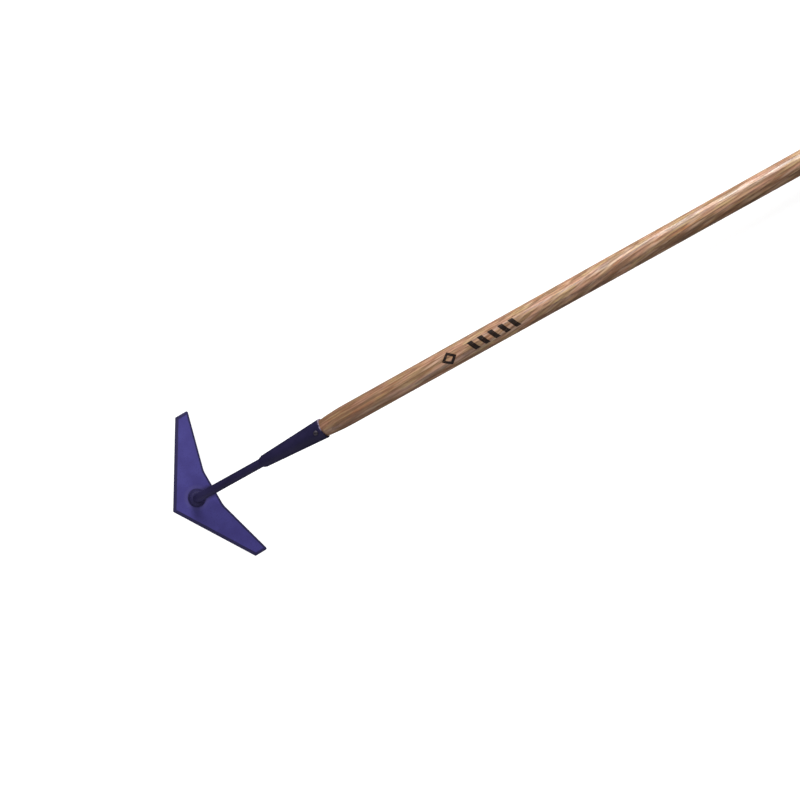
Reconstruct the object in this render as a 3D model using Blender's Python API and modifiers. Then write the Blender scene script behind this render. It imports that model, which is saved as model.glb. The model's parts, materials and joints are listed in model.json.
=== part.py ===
"""A path weeder: a flat V-shaped blade on a bent neck, a rolled socket and a long ash handle.

Units are metres and +Z is up. The tool lies as it does when it is put down: on the rear
corners of its two wing tips and on the end of its handle. Its length runs along X, with the
handle towards +X, and it is the same on both sides of the plane Y = 0. The origin is the
middle of the bottom of its bounding box.

The pieces are modelled in two frames of their own:
- tool: X runs back from the blade's point, Z stands square on the blade's upper face.
- shaft: Z runs up the middle of the neck, socket and handle, and -X is their upper side.
"""

from math import asin, atan2, cos, hypot, pi, radians, sin, tan

import bmesh
import bpy
import numpy
from mathutils import Vector

MM = 0.001

# Clearance between two pieces that seat on each other
GAP = 0.3 * MM

# Blade: a plate with two wings, ground to a bevel along its front
BLADE_WIDTH = 215 * MM
BLADE_THICKNESS = 3 * MM
POINT_ANGLE = radians(116.5)
POINT_ROUND = 1.5 * MM
TIP_LENGTH = 19 * MM
TIP_ROUND = 1.2 * MM
MIDDLE_DEPTH = 63.4 * MM
MIDDLE_WIDTH = 52.4 * MM
WING_BEND = 30 * MM
FRONT_BEVEL = 4.2 * MM
REAR_BEVEL = 2 * MM
BEVEL_DROP = 1.5 * MM
EDGE_SOFTENING = 0.3 * MM

# Neck: a round bar that stands square on the blade and bends back to the handle's angle
NECK_DIAMETER = 12 * MM
NECK_PLACE = 36.7 * MM
NECK_CORNER_HEIGHT = 24 * MM
NECK_BEND = 20 * MM
HANDLE_ANGLE = radians(35)

# Socket: sheet rolled into a cone, its long seam left open underneath
SOCKET_START = 104.5 * MM
SOCKET_LENGTH = 95 * MM
SOCKET_RIM_DIAMETER = 27.6 * MM
SOCKET_WALL = 2 * MM
SEAM_ANGLE = radians(6)
NECK_GRIP = 22 * MM

# Welds round the neck's foot and round the socket's small end
FOOT_WELD_WIDTH = 5.5 * MM
FOOT_WELD_HEIGHT = 5.5 * MM
SOCKET_WELD_LENGTH = 4 * MM
SOCKET_WELD_COVER = 0.8  # share of the socket's wall that the bead covers
WELD_FULLNESS = 1.3  # 1 is a straight slope or fuller, 2 is hollow

# Handle: turned ash with a tapered end in the socket
HANDLE_DIAMETER = 28 * MM
HANDLE_LENGTH = 1500 * MM
TENON_SPACE = 4 * MM
TENON_CHAMFER = 1.5 * MM
SHOULDER_LENGTH = 40 * MM
BUTT_ROUND = 8 * MM

# Round-head wood screw through the top of the socket
SCREW_DIAMETER = 3.5 * MM
SCREW_LENGTH = 20 * MM
SCREW_POINT = 5 * MM
SCREW_HEAD_DIAMETER = 6.6 * MM
SCREW_HEAD_HEIGHT = 2.4 * MM
SCREW_HEAD_RIM = 0.4 * MM
SCREW_FROM_RIM = 8.2 * MM

# Fineness of the round shapes
TURN_STEPS = 64
SMALL_TURN_STEPS = 32
ARC_STEPS = 6
BAR_ROUNDNESS = 10
SHARP_ANGLE = radians(40)

# Sizes that follow from the ones above
NECK_RADIUS = NECK_DIAMETER / 2
SOCKET_RIM = SOCKET_START + SOCKET_LENGTH
SOCKET_BORE_SMALL = NECK_RADIUS + GAP
SOCKET_BORE_RIM = SOCKET_RIM_DIAMETER / 2 - SOCKET_WALL
SOCKET_TAPER = atan2(SOCKET_BORE_RIM - SOCKET_BORE_SMALL, SOCKET_LENGTH)
NECK_END = SOCKET_START + NECK_GRIP
HANDLE_START = NECK_END + TENON_SPACE
HANDLE_END = HANDLE_START + HANDLE_LENGTH
SCREW_PLACE = SOCKET_RIM - SCREW_FROM_RIM


def clear_scene():
    for item in list(bpy.data.objects):
        bpy.data.objects.remove(item, do_unlink=True)


def make_collection(name):
    collection = bpy.data.collections.new(name)
    bpy.context.scene.collection.children.link(collection)
    return collection


def make_material(name, colour, roughness, metallic):
    """A Principled material; the colour is linear red, green and blue."""
    material = bpy.data.materials.new(name)
    material.use_nodes = True
    shader = material.node_tree.nodes["Principled BSDF"]
    shader.inputs["Base Color"].default_value = (*colour, 1)
    shader.inputs["Roughness"].default_value = roughness
    shader.inputs["Metallic"].default_value = metallic
    return material


def add_object(name, data, parent, collection):
    item = bpy.data.objects.new(name, data)
    item.parent = parent
    collection.objects.link(item)
    return item


def add_modifier(item, kind, **settings):
    modifier = item.modifiers.new(kind.title(), kind)
    for setting, value in settings.items():
        setattr(modifier, setting, value)
    return modifier


def shade_round(item):
    """Smooth shading that keeps real edges sharp."""
    item.data.shade_smooth()
    item.data.set_sharp_from_angle(angle=SHARP_ANGLE)


def arc_points(centre, radius, start, end, steps):
    """Points on an arc in a plane, from the start angle to the end angle."""
    angles = [start + (end - start) * step / steps for step in range(steps + 1)]
    return [(centre[0] + radius * cos(angle), centre[1] + radius * sin(angle)) for angle in angles]


def turned_object(name, profile, parent, collection, steps, angle=2 * pi, closed=False):
    """Turn a profile of (radius, height) points, listed top to bottom, about Z."""
    mesh = bpy.data.meshes.new(name)
    edges = [(index, index + 1) for index in range(len(profile) - 1)]
    if closed:
        edges.append((len(profile) - 1, 0))
    mesh.from_pydata([(radius, 0, height) for radius, height in profile], edges, [])
    item = add_object(name, mesh, parent, collection)
    add_modifier(
        item, "SCREW", axis="Z", angle=angle, steps=steps, render_steps=steps,
        use_merge_vertices=angle == 2 * pi, merge_threshold=0.01 * MM, use_smooth_shade=True,
    )
    return item


def cut_with(item, cutter):
    add_modifier(item, "BOOLEAN", operation="DIFFERENCE", solver="EXACT", object=cutter)


def moved_corner(corner, before, after, inset_before, inset_after):
    """Where a corner goes when the sides before and after it move inwards."""
    sides = ((before, corner, inset_before), (corner, after, inset_after))
    normals = []
    offsets = []
    for start, end, inset in sides:
        along = (Vector(end) - Vector(start)).normalized()
        inward = Vector((along.y, -along.x))
        normals.append(inward)
        offsets.append(inward.dot(Vector(corner)) + inset)
    return Vector(numpy.linalg.solve(numpy.array(normals), numpy.array(offsets)))


def rounded_corner(corner, before, after, radius):
    """The points of an arc that touches the two sides which meet in a corner."""
    to_before = (before - corner).normalized()
    to_after = (after - corner).normalized()
    half = to_before.angle(to_after) / 2
    middle = corner + (to_before + to_after).normalized() * radius / sin(half)
    first = corner + to_before * radius / tan(half) - middle
    last = corner + to_after * radius / tan(half) - middle
    turn = first.angle_signed(last)
    start = atan2(first.y, first.x)
    return arc_points(middle, radius, start, start - turn, ARC_STEPS)


def blade_half_outline(front_inset, rear_inset):
    """Half the blade's outline, from its point on Y = 0 round one wing to the rear middle."""
    half_width = BLADE_WIDTH / 2
    outer_tip = Vector((half_width / tan(POINT_ANGLE / 2), half_width))
    inner_tip = outer_tip + Vector((TIP_LENGTH, 0))
    wing_start = Vector((MIDDLE_DEPTH, MIDDLE_WIDTH / 2))
    point = Vector((0, 0))
    point_mirror = Vector((outer_tip.x, -outer_tip.y))
    rear_middle = Vector((MIDDLE_DEPTH, 0))

    corners = [
        moved_corner(point, point_mirror, outer_tip, front_inset, front_inset),
        moved_corner(outer_tip, point, inner_tip, front_inset, rear_inset),
        moved_corner(inner_tip, outer_tip, wing_start, rear_inset, rear_inset),
        moved_corner(wing_start, inner_tip, rear_middle, rear_inset, rear_inset),
        rear_middle - Vector((rear_inset, 0)),
    ]
    point, outer_tip, inner_tip, wing_start, rear_middle = corners
    point_mirror = Vector((outer_tip.x, -outer_tip.y))

    whole_point = rounded_corner(point, point_mirror, outer_tip, POINT_ROUND)
    outline = whole_point[ARC_STEPS // 2:]
    outline[0] = (outline[0][0], 0)
    outline += rounded_corner(outer_tip, point, inner_tip, TIP_ROUND)
    outline += rounded_corner(inner_tip, outer_tip, wing_start, TIP_ROUND)
    outline += rounded_corner(wing_start, inner_tip, rear_middle, WING_BEND + rear_inset)
    outline.append(tuple(rear_middle))
    return outline


def add_blade(tool, collection):
    """The plate is one half, drawn up in two lifts and mirrored; the second lift is the bevel."""
    sole = blade_half_outline(0, 0)
    face = blade_half_outline(FRONT_BEVEL, REAR_BEVEL)
    shape = bmesh.new()
    corners = [shape.verts.new((x, y, -BLADE_THICKNESS)) for x, y in sole]
    region = shape.faces.new(corners)
    for lift in (BLADE_THICKNESS - BEVEL_DROP, BEVEL_DROP):
        drawn = bmesh.ops.extrude_face_region(shape, geom=[region, *region.edges])
        region = next(part for part in drawn["geom"] if isinstance(part, bmesh.types.BMFace))
        bmesh.ops.translate(shape, verts=region.verts, vec=(0, 0, lift))
    for corner in region.verts:
        distances = [hypot(corner.co.x - x, corner.co.y - y) for x, y in sole]
        corner.co.xy = face[distances.index(min(distances))]
    on_plane = [side for side in shape.faces if all(abs(corner.co.y) < 0.01 * MM for corner in side.verts)]
    bmesh.ops.delete(shape, geom=on_plane, context="FACES")
    bmesh.ops.recalc_face_normals(shape, faces=shape.faces)
    mesh = bpy.data.meshes.new("blade")
    shape.to_mesh(mesh)
    shape.free()
    blade = add_object("blade", mesh, tool, collection)
    add_modifier(blade, "MIRROR", use_axis=(False, True, False), merge_threshold=0.01 * MM)
    add_modifier(
        blade, "BEVEL", width=EDGE_SOFTENING, segments=2, limit_method="ANGLE",
        angle_limit=SHARP_ANGLE, use_clamp_overlap=True,
    )
    return blade


def add_neck(tool, collection):
    """A bar on a line that stands up, bends back by an arc, and runs on into the socket."""
    turn = pi / 2 - HANDLE_ANGLE
    tangent = NECK_BEND * tan(turn / 2)
    bend_centre = (NECK_PLACE + NECK_BEND, NECK_CORNER_HEIGHT - tangent)
    line = [(NECK_PLACE, GAP)]
    line += arc_points(bend_centre, NECK_BEND, pi, pi - turn, 2 * ARC_STEPS)
    line.append((
        NECK_PLACE + NECK_END * cos(HANDLE_ANGLE),
        NECK_CORNER_HEIGHT + NECK_END * sin(HANDLE_ANGLE),
    ))
    curve = bpy.data.curves.new("neck", "CURVE")
    curve.dimensions = "3D"
    curve.bevel_depth = NECK_RADIUS
    curve.bevel_resolution = BAR_ROUNDNESS
    curve.use_fill_caps = True
    spline = curve.splines.new("POLY")
    spline.points.add(len(line) - 1)
    for point, (x, z) in zip(spline.points, line):
        point.co = (x, 0, z, 1)
        point.radius = 1
    spline.use_smooth = True
    return add_object("neck", curve, tool, collection)


def weld_profile(inner, outer, height, base):
    """A fillet's section: a full, rounded face outside, flat against what it joins."""
    face = [
        (inner + (outer - inner) * sin(turn), base + height * cos(turn) ** WELD_FULLNESS)
        for turn in (pi / 2 * step / ARC_STEPS for step in range(ARC_STEPS))
    ]
    return face + [(outer, base), (inner, base)]


def add_foot_weld(tool, collection):
    outer = NECK_RADIUS + FOOT_WELD_WIDTH
    profile = weld_profile(NECK_RADIUS + GAP, outer, FOOT_WELD_HEIGHT, GAP)
    weld = turned_object("foot_weld", profile, tool, collection, TURN_STEPS, closed=True)
    weld.location = (NECK_PLACE, 0, 0)
    return weld


def add_socket_weld(shaft, collection):
    """The bead fills the step from the socket's end face down to the neck.

    The wall is square to the cone, so its end face leans out past the cone's own end.
    """
    outer = SOCKET_BORE_SMALL + SOCKET_WALL * SOCKET_WELD_COVER
    lean = SOCKET_WALL * sin(SOCKET_TAPER)
    profile = weld_profile(NECK_RADIUS + GAP, outer, SOCKET_WELD_LENGTH, lean + GAP)
    weld = turned_object("socket_weld", profile, shaft, collection, TURN_STEPS, closed=True)
    weld.location = (0, 0, SOCKET_START)
    weld.rotation_euler = (pi, 0, 0)
    return weld


def add_socket(shaft, collection):
    """The bore's cone is swept short of a full turn, then given its wall outwards."""
    profile = [(SOCKET_BORE_RIM, SOCKET_RIM), (SOCKET_BORE_SMALL, SOCKET_START)]
    sweep = 2 * pi - SEAM_ANGLE
    socket = turned_object("socket", profile, shaft, collection, TURN_STEPS, angle=sweep)
    socket.rotation_euler = (0, 0, SEAM_ANGLE / 2)
    add_modifier(socket, "SOLIDIFY", thickness=SOCKET_WALL, offset=1, use_even_offset=True)
    add_modifier(
        socket, "BEVEL", width=EDGE_SOFTENING, segments=2, limit_method="ANGLE",
        angle_limit=SHARP_ANGLE, use_clamp_overlap=True,
    )
    return socket


def tenon_radius(place):
    """The handle's radius inside the socket, at a distance along the shaft."""
    return SOCKET_BORE_SMALL - GAP + (place - SOCKET_START) * tan(SOCKET_TAPER)


def shoulder_profile():
    """A long arc from full thickness down to the socket's mouth, as (radius, height) points."""
    full = HANDLE_DIAMETER / 2
    fall = full - tenon_radius(SOCKET_RIM)
    places = [SHOULDER_LENGTH * (1 - step / (2 * ARC_STEPS)) for step in range(2 * ARC_STEPS + 1)]
    return [(full - fall * (1 - place / SHOULDER_LENGTH) ** 2, SOCKET_RIM + place) for place in places]


def add_handle(shaft, collection):
    full = HANDLE_DIAMETER / 2
    butt_centre = (full - BUTT_ROUND, HANDLE_END - BUTT_ROUND)
    profile = [(0, HANDLE_END)]
    profile += arc_points(butt_centre, BUTT_ROUND, pi / 2, 0, 2 * ARC_STEPS)
    profile += shoulder_profile()
    tip = tenon_radius(HANDLE_START)
    profile.append((tenon_radius(HANDLE_START + TENON_CHAMFER), HANDLE_START + TENON_CHAMFER))
    profile.append((tip - TENON_CHAMFER, HANDLE_START))
    profile.append((0, HANDLE_START))
    return turned_object("handle", profile, shaft, collection, TURN_STEPS)


def screw_seat():
    """Distance from the shaft's middle line to the underside of the screw's head."""
    bore = SOCKET_BORE_SMALL + (SCREW_PLACE - SOCKET_START) * tan(SOCKET_TAPER)
    rise_under_head = SCREW_HEAD_DIAMETER / 2 * tan(SOCKET_TAPER)
    return bore + SOCKET_WALL / cos(SOCKET_TAPER) + rise_under_head + GAP


def place_across_shaft(item, distance):
    """Stand a piece's Z axis on the shaft's upper side, at a distance from the middle line."""
    item.location = (-distance, 0, SCREW_PLACE)
    item.rotation_euler = (0, -pi / 2, 0)


def add_fixing_screw(shaft, collection):
    head = SCREW_HEAD_DIAMETER / 2
    shank = SCREW_DIAMETER / 2
    dome_height = SCREW_HEAD_HEIGHT - SCREW_HEAD_RIM
    dome = [
        (head * sin(turn), SCREW_HEAD_RIM + dome_height * cos(turn))
        for turn in (pi / 2 * step / ARC_STEPS for step in range(ARC_STEPS + 1))
    ]
    dome[0] = (0, SCREW_HEAD_HEIGHT)
    below = [(head, 0), (shank, 0), (shank, SCREW_POINT - SCREW_LENGTH), (0, -SCREW_LENGTH)]
    screw = turned_object("fixing_screw", dome + below, shaft, collection, SMALL_TURN_STEPS)
    place_across_shaft(screw, screw_seat())
    return screw


def add_screw_hole(shaft, pieces, collection):
    """One drilling goes through the socket's wall and blind into the wood."""
    top = screw_seat() + GAP
    bottom = screw_seat() - SCREW_LENGTH - GAP
    bpy.ops.mesh.primitive_cylinder_add(
        vertices=SMALL_TURN_STEPS, radius=SCREW_DIAMETER / 2 + GAP, depth=top - bottom,
    )
    drill = bpy.context.object
    drill.name = "screw_drill"
    for home in list(drill.users_collection):
        home.objects.unlink(drill)
    collection.objects.link(drill)
    drill.parent = shaft
    place_across_shaft(drill, (top + bottom) / 2)
    drill.display_type = "WIRE"
    drill.hide_render = True
    for piece in pieces:
        cut_with(piece, drill)


def rest_angle():
    """Turn about Y that brings the blade's rear corners and the butt down to one level."""
    tip_x = BLADE_WIDTH / 2 / tan(POINT_ANGLE / 2) + TIP_LENGTH
    support = Vector((max(tip_x, MIDDLE_DEPTH), -BLADE_THICKNESS))
    along = Vector((cos(HANDLE_ANGLE), sin(HANDLE_ANGLE)))
    under = Vector((sin(HANDLE_ANGLE), -cos(HANDLE_ANGLE)))
    corner = Vector((NECK_PLACE, NECK_CORNER_HEIGHT))
    butt_centre = (
        corner + along * (HANDLE_END - BUTT_ROUND) + under * (HANDLE_DIAMETER / 2 - BUTT_ROUND)
    )
    reach = butt_centre - support
    return atan2(reach.y, reach.x) - asin(BUTT_ROUND / hypot(*reach))


def lay_down(tool, collection):
    """Turn the tool to its rest and bring the middle of its box's bottom to the origin."""
    tool.rotation_euler = (0, rest_angle(), 0)
    bpy.context.view_layer.update()
    graph = bpy.context.evaluated_depsgraph_get()
    corners = []
    for item in collection.objects:
        solid = item.evaluated_get(graph)
        mesh = solid.to_mesh()
        corners += [solid.matrix_world @ corner.co for corner in mesh.vertices]
        solid.to_mesh_clear()
    lowest = Vector(numpy.min(corners, axis=0))
    highest = Vector(numpy.max(corners, axis=0))
    middle = (lowest + highest) / 2
    tool.location = (-middle.x, -middle.y, -lowest.z)
    print("size in mm:", [round(side / MM, 1) for side in highest - lowest])


def build():
    clear_scene()
    parts = make_collection("path_weeder")
    cutters = make_collection("cutters")
    frames = make_collection("frames")

    tool = add_object("tool_frame", None, None, frames)
    shaft = add_object("shaft_frame", None, tool, frames)
    shaft.location = (NECK_PLACE, 0, NECK_CORNER_HEIGHT)
    shaft.rotation_euler = (0, pi / 2 - HANDLE_ANGLE, 0)

    blade_paint = make_material("violet_blue_paint", (0.068, 0.060, 0.225), 0.45, 0)
    neck_paint = make_material("dark_navy_paint", (0.022, 0.017, 0.051), 0.4, 0)
    steel = make_material("screw_steel", (0.30, 0.28, 0.29), 0.35, 1)
    ash = make_material("ash_wood", (0.30, 0.17, 0.09), 0.5, 0)

    blade = add_blade(tool, parts)
    neck = add_neck(tool, parts)
    foot_weld = add_foot_weld(tool, parts)
    socket = add_socket(shaft, parts)
    socket_weld = add_socket_weld(shaft, parts)
    screw = add_fixing_screw(shaft, parts)
    handle = add_handle(shaft, parts)
    add_screw_hole(shaft, (socket, handle), cutters)

    blade.data.materials.append(blade_paint)
    for piece in (neck, foot_weld, socket, socket_weld):
        piece.data.materials.append(neck_paint)
    screw.data.materials.append(steel)
    handle.data.materials.append(ash)
    shade_round(blade)
    lay_down(tool, parts)


build()
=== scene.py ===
# %% [markdown]
# # A path weeder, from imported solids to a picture
#
# The object is a garden tool for weeding paths: a flat V-shaped steel blade, a bent round neck,
# a rolled socket and a long ash handle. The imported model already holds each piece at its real
# size and place. It is loaded first as a fixed frame, so that everything made below can be
# measured against it. Its pieces are plain solids, and the work here is to give each one the
# fine surface and the finish of the real one.

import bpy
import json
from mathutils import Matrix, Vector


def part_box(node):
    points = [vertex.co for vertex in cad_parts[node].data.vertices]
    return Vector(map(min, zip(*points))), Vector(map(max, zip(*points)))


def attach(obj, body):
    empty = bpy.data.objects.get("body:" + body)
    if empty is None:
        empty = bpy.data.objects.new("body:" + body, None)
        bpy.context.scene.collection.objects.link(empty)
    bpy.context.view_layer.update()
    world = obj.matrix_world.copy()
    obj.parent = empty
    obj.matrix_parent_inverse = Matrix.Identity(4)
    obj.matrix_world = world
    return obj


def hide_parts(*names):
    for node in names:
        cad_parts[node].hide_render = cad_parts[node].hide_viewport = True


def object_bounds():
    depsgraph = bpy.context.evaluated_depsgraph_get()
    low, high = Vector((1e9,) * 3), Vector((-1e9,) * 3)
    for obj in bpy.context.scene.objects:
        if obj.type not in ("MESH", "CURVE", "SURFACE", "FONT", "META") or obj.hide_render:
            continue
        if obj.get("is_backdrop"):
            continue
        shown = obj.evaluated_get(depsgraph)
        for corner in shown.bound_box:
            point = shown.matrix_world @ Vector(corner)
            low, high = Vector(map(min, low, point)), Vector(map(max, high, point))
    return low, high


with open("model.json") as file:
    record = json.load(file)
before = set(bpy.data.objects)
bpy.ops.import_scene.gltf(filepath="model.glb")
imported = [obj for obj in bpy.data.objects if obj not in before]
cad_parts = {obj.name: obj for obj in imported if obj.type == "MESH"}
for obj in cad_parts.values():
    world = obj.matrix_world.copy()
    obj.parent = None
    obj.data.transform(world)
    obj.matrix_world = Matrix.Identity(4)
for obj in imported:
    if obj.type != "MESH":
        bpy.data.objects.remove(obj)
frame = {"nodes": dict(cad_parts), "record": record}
cad_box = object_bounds()
print("nodes:", sorted(frame["nodes"]))
print("solid model's box in metres:", [[round(side, 4) for side in corner] for corner in cad_box])

# %% [markdown]
# ## Two frames to work in
#
# The tool lies tilted on its wing tips, so none of its pieces lines up with the world's axes.
# Its maker would measure the blade from its point and the handle along its own middle. Two
# frames bring that back. In the tool frame X runs back from the blade's point and Z stands on
# the blade's upper face. In the shaft frame Z runs up the middle of the handle, and -X is its
# upper side. Both follow from the record's two flat mounts, the sole and the butt. The tool's
# sizes are written in millimetres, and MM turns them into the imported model's metres.

# %% The tool frame and the shaft frame
import json
from math import cos, degrees, pi, radians, sin, tan

import bmesh
import bpy
from mathutils import Matrix, Vector

MM = 0.001
SOLE_POINT_BACK = 45
BLADE_THICKNESS = 3
NECK_PLACE = 36.7
NECK_CORNER_HEIGHT = 24


def frame_matrix(origin, z_axis):
    """A frame with a given Z, whose Y is the world's Y, across the tool."""
    y_axis = Vector((0, 1, 0))
    x_axis = y_axis.cross(z_axis)
    turn = Matrix((x_axis, y_axis, z_axis)).transposed()
    return Matrix.Translation(origin) @ turn.to_4x4()


mounts = {mount["name"]: mount for mount in frame["record"]["mounts"]}
blade_up = -Vector(mounts["blade_sole"]["axis"]).normalized()
blade_back = Vector((0, 1, 0)).cross(blade_up)
sole_point = Vector(mounts["blade_sole"]["pos_m"])
tool_origin = sole_point - blade_back * SOLE_POINT_BACK * MM + blade_up * BLADE_THICKNESS * MM
tool_frame = frame_matrix(tool_origin, blade_up)

shaft_up = Vector(mounts["butt_face"]["axis"]).normalized()
shaft_origin = tool_frame @ Vector((NECK_PLACE * MM, 0, NECK_CORNER_HEIGHT * MM))
shaft_frame = frame_matrix(shaft_origin, shaft_up)
handle_angle = pi / 2 - blade_up.angle(shaft_up)
print("angle between blade and handle:", round(degrees(handle_angle), 2), "degrees")

# %% [markdown]
# ## The camera
#
# The photograph looks down on the blade's upper face from about 2.6 m, with a long lens. The
# place was found by matching the blade's corners, the socket's ends and the handle's edges to
# the photograph, so the camera is set from numbers, in metres in the tool frame. A camera looks
# along its own -Z with +Y up, and its matrix is put together from those three directions.

# %% Camera
CAMERA_PLACE = Vector((-0.45798, 0.10363, 2.60378))
CAMERA_AIM = Vector((0.32042, -0.02118, 0.1))
CAMERA_UP = Vector((0.48695, 0.86629, 0.11143))
CAMERA_LENS = 88.72

bpy.ops.object.camera_add()
camera = bpy.context.object
forward = (CAMERA_AIM - CAMERA_PLACE).normalized()
right = forward.cross(CAMERA_UP).normalized()
upward = right.cross(forward)
looking = Matrix((right, upward, -forward)).transposed().to_4x4()
camera.matrix_world = tool_frame @ Matrix.Translation(CAMERA_PLACE) @ looking
camera.data.lens = CAMERA_LENS
bpy.context.scene.camera = camera
print("camera at", [round(side, 3) for side in camera.matrix_world.translation])

# %% [markdown]
# ## Shader maths as Python
#
# Most of the finishes below are built from sums: a distance, a wave, a mask. In the node editor
# each sum is a Math node, which soon fills the screen. A small class that wraps one output
# socket and overloads the operators lets the same nodes be written as an ordinary expression,
# such as `1 - mask * 0.5`. Any other node comes from one method, `node`, which takes the node's
# type, then its settings, then the values or links of its inputs. What is the same all over a
# surface is a plain number and stays on the socket itself.

# %% A wrapper for shader sockets
def fill(node, values):
    """Fill a node's inputs: a wire is linked, and a plain value is set on the socket."""
    for name, value in values.items():
        if isinstance(value, Wire):
            node.id_data.links.new(value.socket, node.inputs[name])
        else:
            node.inputs[name].default_value = value


class Wire:
    """One output of a shader node, or the bare node tree to start from."""

    def __init__(self, tree, socket=None):
        self.tree = tree
        self.socket = socket

    def node(self, kind, settings=None, inputs=None, output=0):
        made = self.tree.nodes.new("ShaderNode" + kind)
        for name, value in (settings or {}).items():
            setattr(made, name, value)
        fill(made, inputs or {})
        return Wire(self.tree, made.outputs[output])

    def maths(self, operation, *values):
        return self.node("Math", {"operation": operation}, dict(enumerate(values)))

    def __add__(self, other):
        return self.maths("ADD", self, other)

    def __radd__(self, other):
        return self.maths("ADD", other, self)

    def __sub__(self, other):
        return self.maths("SUBTRACT", self, other)

    def __rsub__(self, other):
        return self.maths("SUBTRACT", other, self)

    def __mul__(self, other):
        return self.maths("MULTIPLY", self, other)

    def __rmul__(self, other):
        return self.maths("MULTIPLY", other, self)

    def __truediv__(self, other):
        return self.maths("DIVIDE", self, other)

    def __abs__(self):
        return self.maths("ABSOLUTE", self)


# %% [markdown]
# A few more helpers cover what every finish here needs: the position on a piece in millimetres
# of one of the two frames, noise that can be stretched along a direction, a soft step between
# two values, and a mix of two colours. The position comes from a Mapping node of the Texture
# type, which undoes a move, a turn and a scale. Colours are written as a paint chart gives
# them, from 0 to 255, and worked out in Python as the linear values that Blender wants.

# %% Helpers for finishes
def rgb(red, green, blue):
    """A display colour, 0 to 255, as Blender's linear colour, by the sRGB curve."""
    shares = [value / 255 for value in (red, green, blue)]
    linear = [s / 12.92 if s <= 0.04045 else ((s + 0.055) / 1.055) ** 2.4 for s in shares]
    return (*linear, 1)


def position_in(wire, place):
    """Where a point lies in a frame, in millimetres, from Object coordinates."""
    move, turn, _ = place.decompose()
    inputs = {
        "Vector": wire.node("TexCoord", output="Object"),
        "Location": tuple(move),
        "Rotation": tuple(turn.to_euler()),
        "Scale": (MM, MM, MM),
    }
    return wire.node("Mapping", {"vector_type": "TEXTURE"}, inputs)


def split(vector):
    return [vector.node("SeparateXYZ", inputs={0: vector}, output=axis) for axis in "XYZ"]


def noise(vector, lengths, detail=2, roughness=0.5, seed=0):
    """Noise from 0 to 1 whose cells have the given lengths in millimetres."""
    sizes = tuple(1 / length for length in lengths)
    scaled = vector.node("VectorMath", {"operation": "MULTIPLY"}, {0: vector, 1: sizes})
    moved = vector.node("VectorMath", {"operation": "ADD"}, {0: scaled, 1: (seed, seed, seed)})
    inputs = {"Vector": moved, "Scale": 1, "Detail": detail, "Roughness": roughness}
    return vector.node("TexNoise", inputs=inputs)


def soft_step(value, start, end):
    """0 before the start, 1 past the end, with a smooth rise between them."""
    inputs = {"Value": value, "From Min": start, "From Max": end}
    return value.node("MapRange", {"interpolation_type": "SMOOTHSTEP"}, inputs)


def mix(factor, first, second):
    """The first colour where the factor is 0, the second where it is 1."""
    # A Mix node has its sockets for colours at inputs 6 and 7 and at output 2.
    return factor.node("Mix", {"data_type": "RGBA"}, {0: factor, 6: first, 7: second}, output=2)


def start_material(name):
    """A new material, its Principled shader, and a wire to build its nodes from."""
    material = bpy.data.materials.new(name)
    material.use_nodes = True
    shader = material.node_tree.nodes["Principled BSDF"]
    return material, shader, Wire(material.node_tree)


def bump(height, depth, strength):
    """A normal from a height of 0 to 1 that stands for a depth in millimetres."""
    inputs = {"Strength": strength, "Distance": depth * MM, "Height": height}
    return height.node("Bump", inputs=inputs)


# %% [markdown]
# ## Floor and sky
#
# A catalogue photograph is cut out on white. Here a pale floor stands for that. Its brightness
# comes from its own material, and only for rays that reach the camera. Any other ray meets a
# plain grey, so that the floor throws no more light up on the tool than a table would. The lamps
# stand near and light the floor's middle most. The floor's own glow makes up for that: it grows
# with the distance from the spot under the top lamp, so that the floor is an even white with the
# tool's soft shadow on it. The sky is white to the camera, and an even grey light to the tool.
# The Standard view transform shows colours as they are written.

# %% Floor and sky
FLOOR_SIZE = 24
GLOW_START = 0.1
GLOW_END = 1.7
GLOW_NEAR = rgb(188, 188, 188)
GLOW_FAR = rgb(250, 250, 250)
PAPER_SEEN = rgb(200, 200, 200)
PAPER_UNSEEN = rgb(120, 118, 116)
TOP_LAMP_PLACE = (-0.32, 0.72, 0.76)
SKY_LIGHT = 0.2

bpy.ops.mesh.primitive_plane_add(size=FLOOR_SIZE, location=(0, 0, cad_box[0].z))
floor = bpy.context.object
floor.name = "floor"
floor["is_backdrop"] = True

paper, paper_shader, wire = start_material("paper_floor")
lamp_spot = shaft_frame @ Vector(TOP_LAMP_PLACE)
floor_place = wire.node("TexCoord", output="Object")
spot = {0: floor_place, 1: (lamp_spot.x, lamp_spot.y, 0)}
from_spot = wire.node("VectorMath", {"operation": "DISTANCE"}, spot, output="Value")
glow = mix(soft_step(from_spot, GLOW_START, GLOW_END), GLOW_NEAR, GLOW_FAR)
shown = wire.node("LightPath", output="Is Camera Ray")
fill(paper_shader, {
    "Base Color": mix(shown, PAPER_UNSEEN, PAPER_SEEN),
    "Emission Color": mix(shown, rgb(0, 0, 0), glow),
    "Emission Strength": 1,
    "Roughness": 0.9,
    "Specular IOR Level": 0,
})
floor.data.materials.append(paper)

world = bpy.data.worlds.new("studio")
bpy.context.scene.world = world
world.use_nodes = True
sky = Wire(world.node_tree)
camera_ray = sky.node("LightPath", output="Is Camera Ray")
sky_colour = mix(camera_ray, (SKY_LIGHT, SKY_LIGHT, SKY_LIGHT, 1), (1, 1, 1, 1))
fill(world.node_tree.nodes["Background"], {"Color": sky_colour})
bpy.context.scene.view_settings.view_transform = "Standard"
print("floor at", round(floor.location.z, 5), "sky light", SKY_LIGHT)

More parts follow.
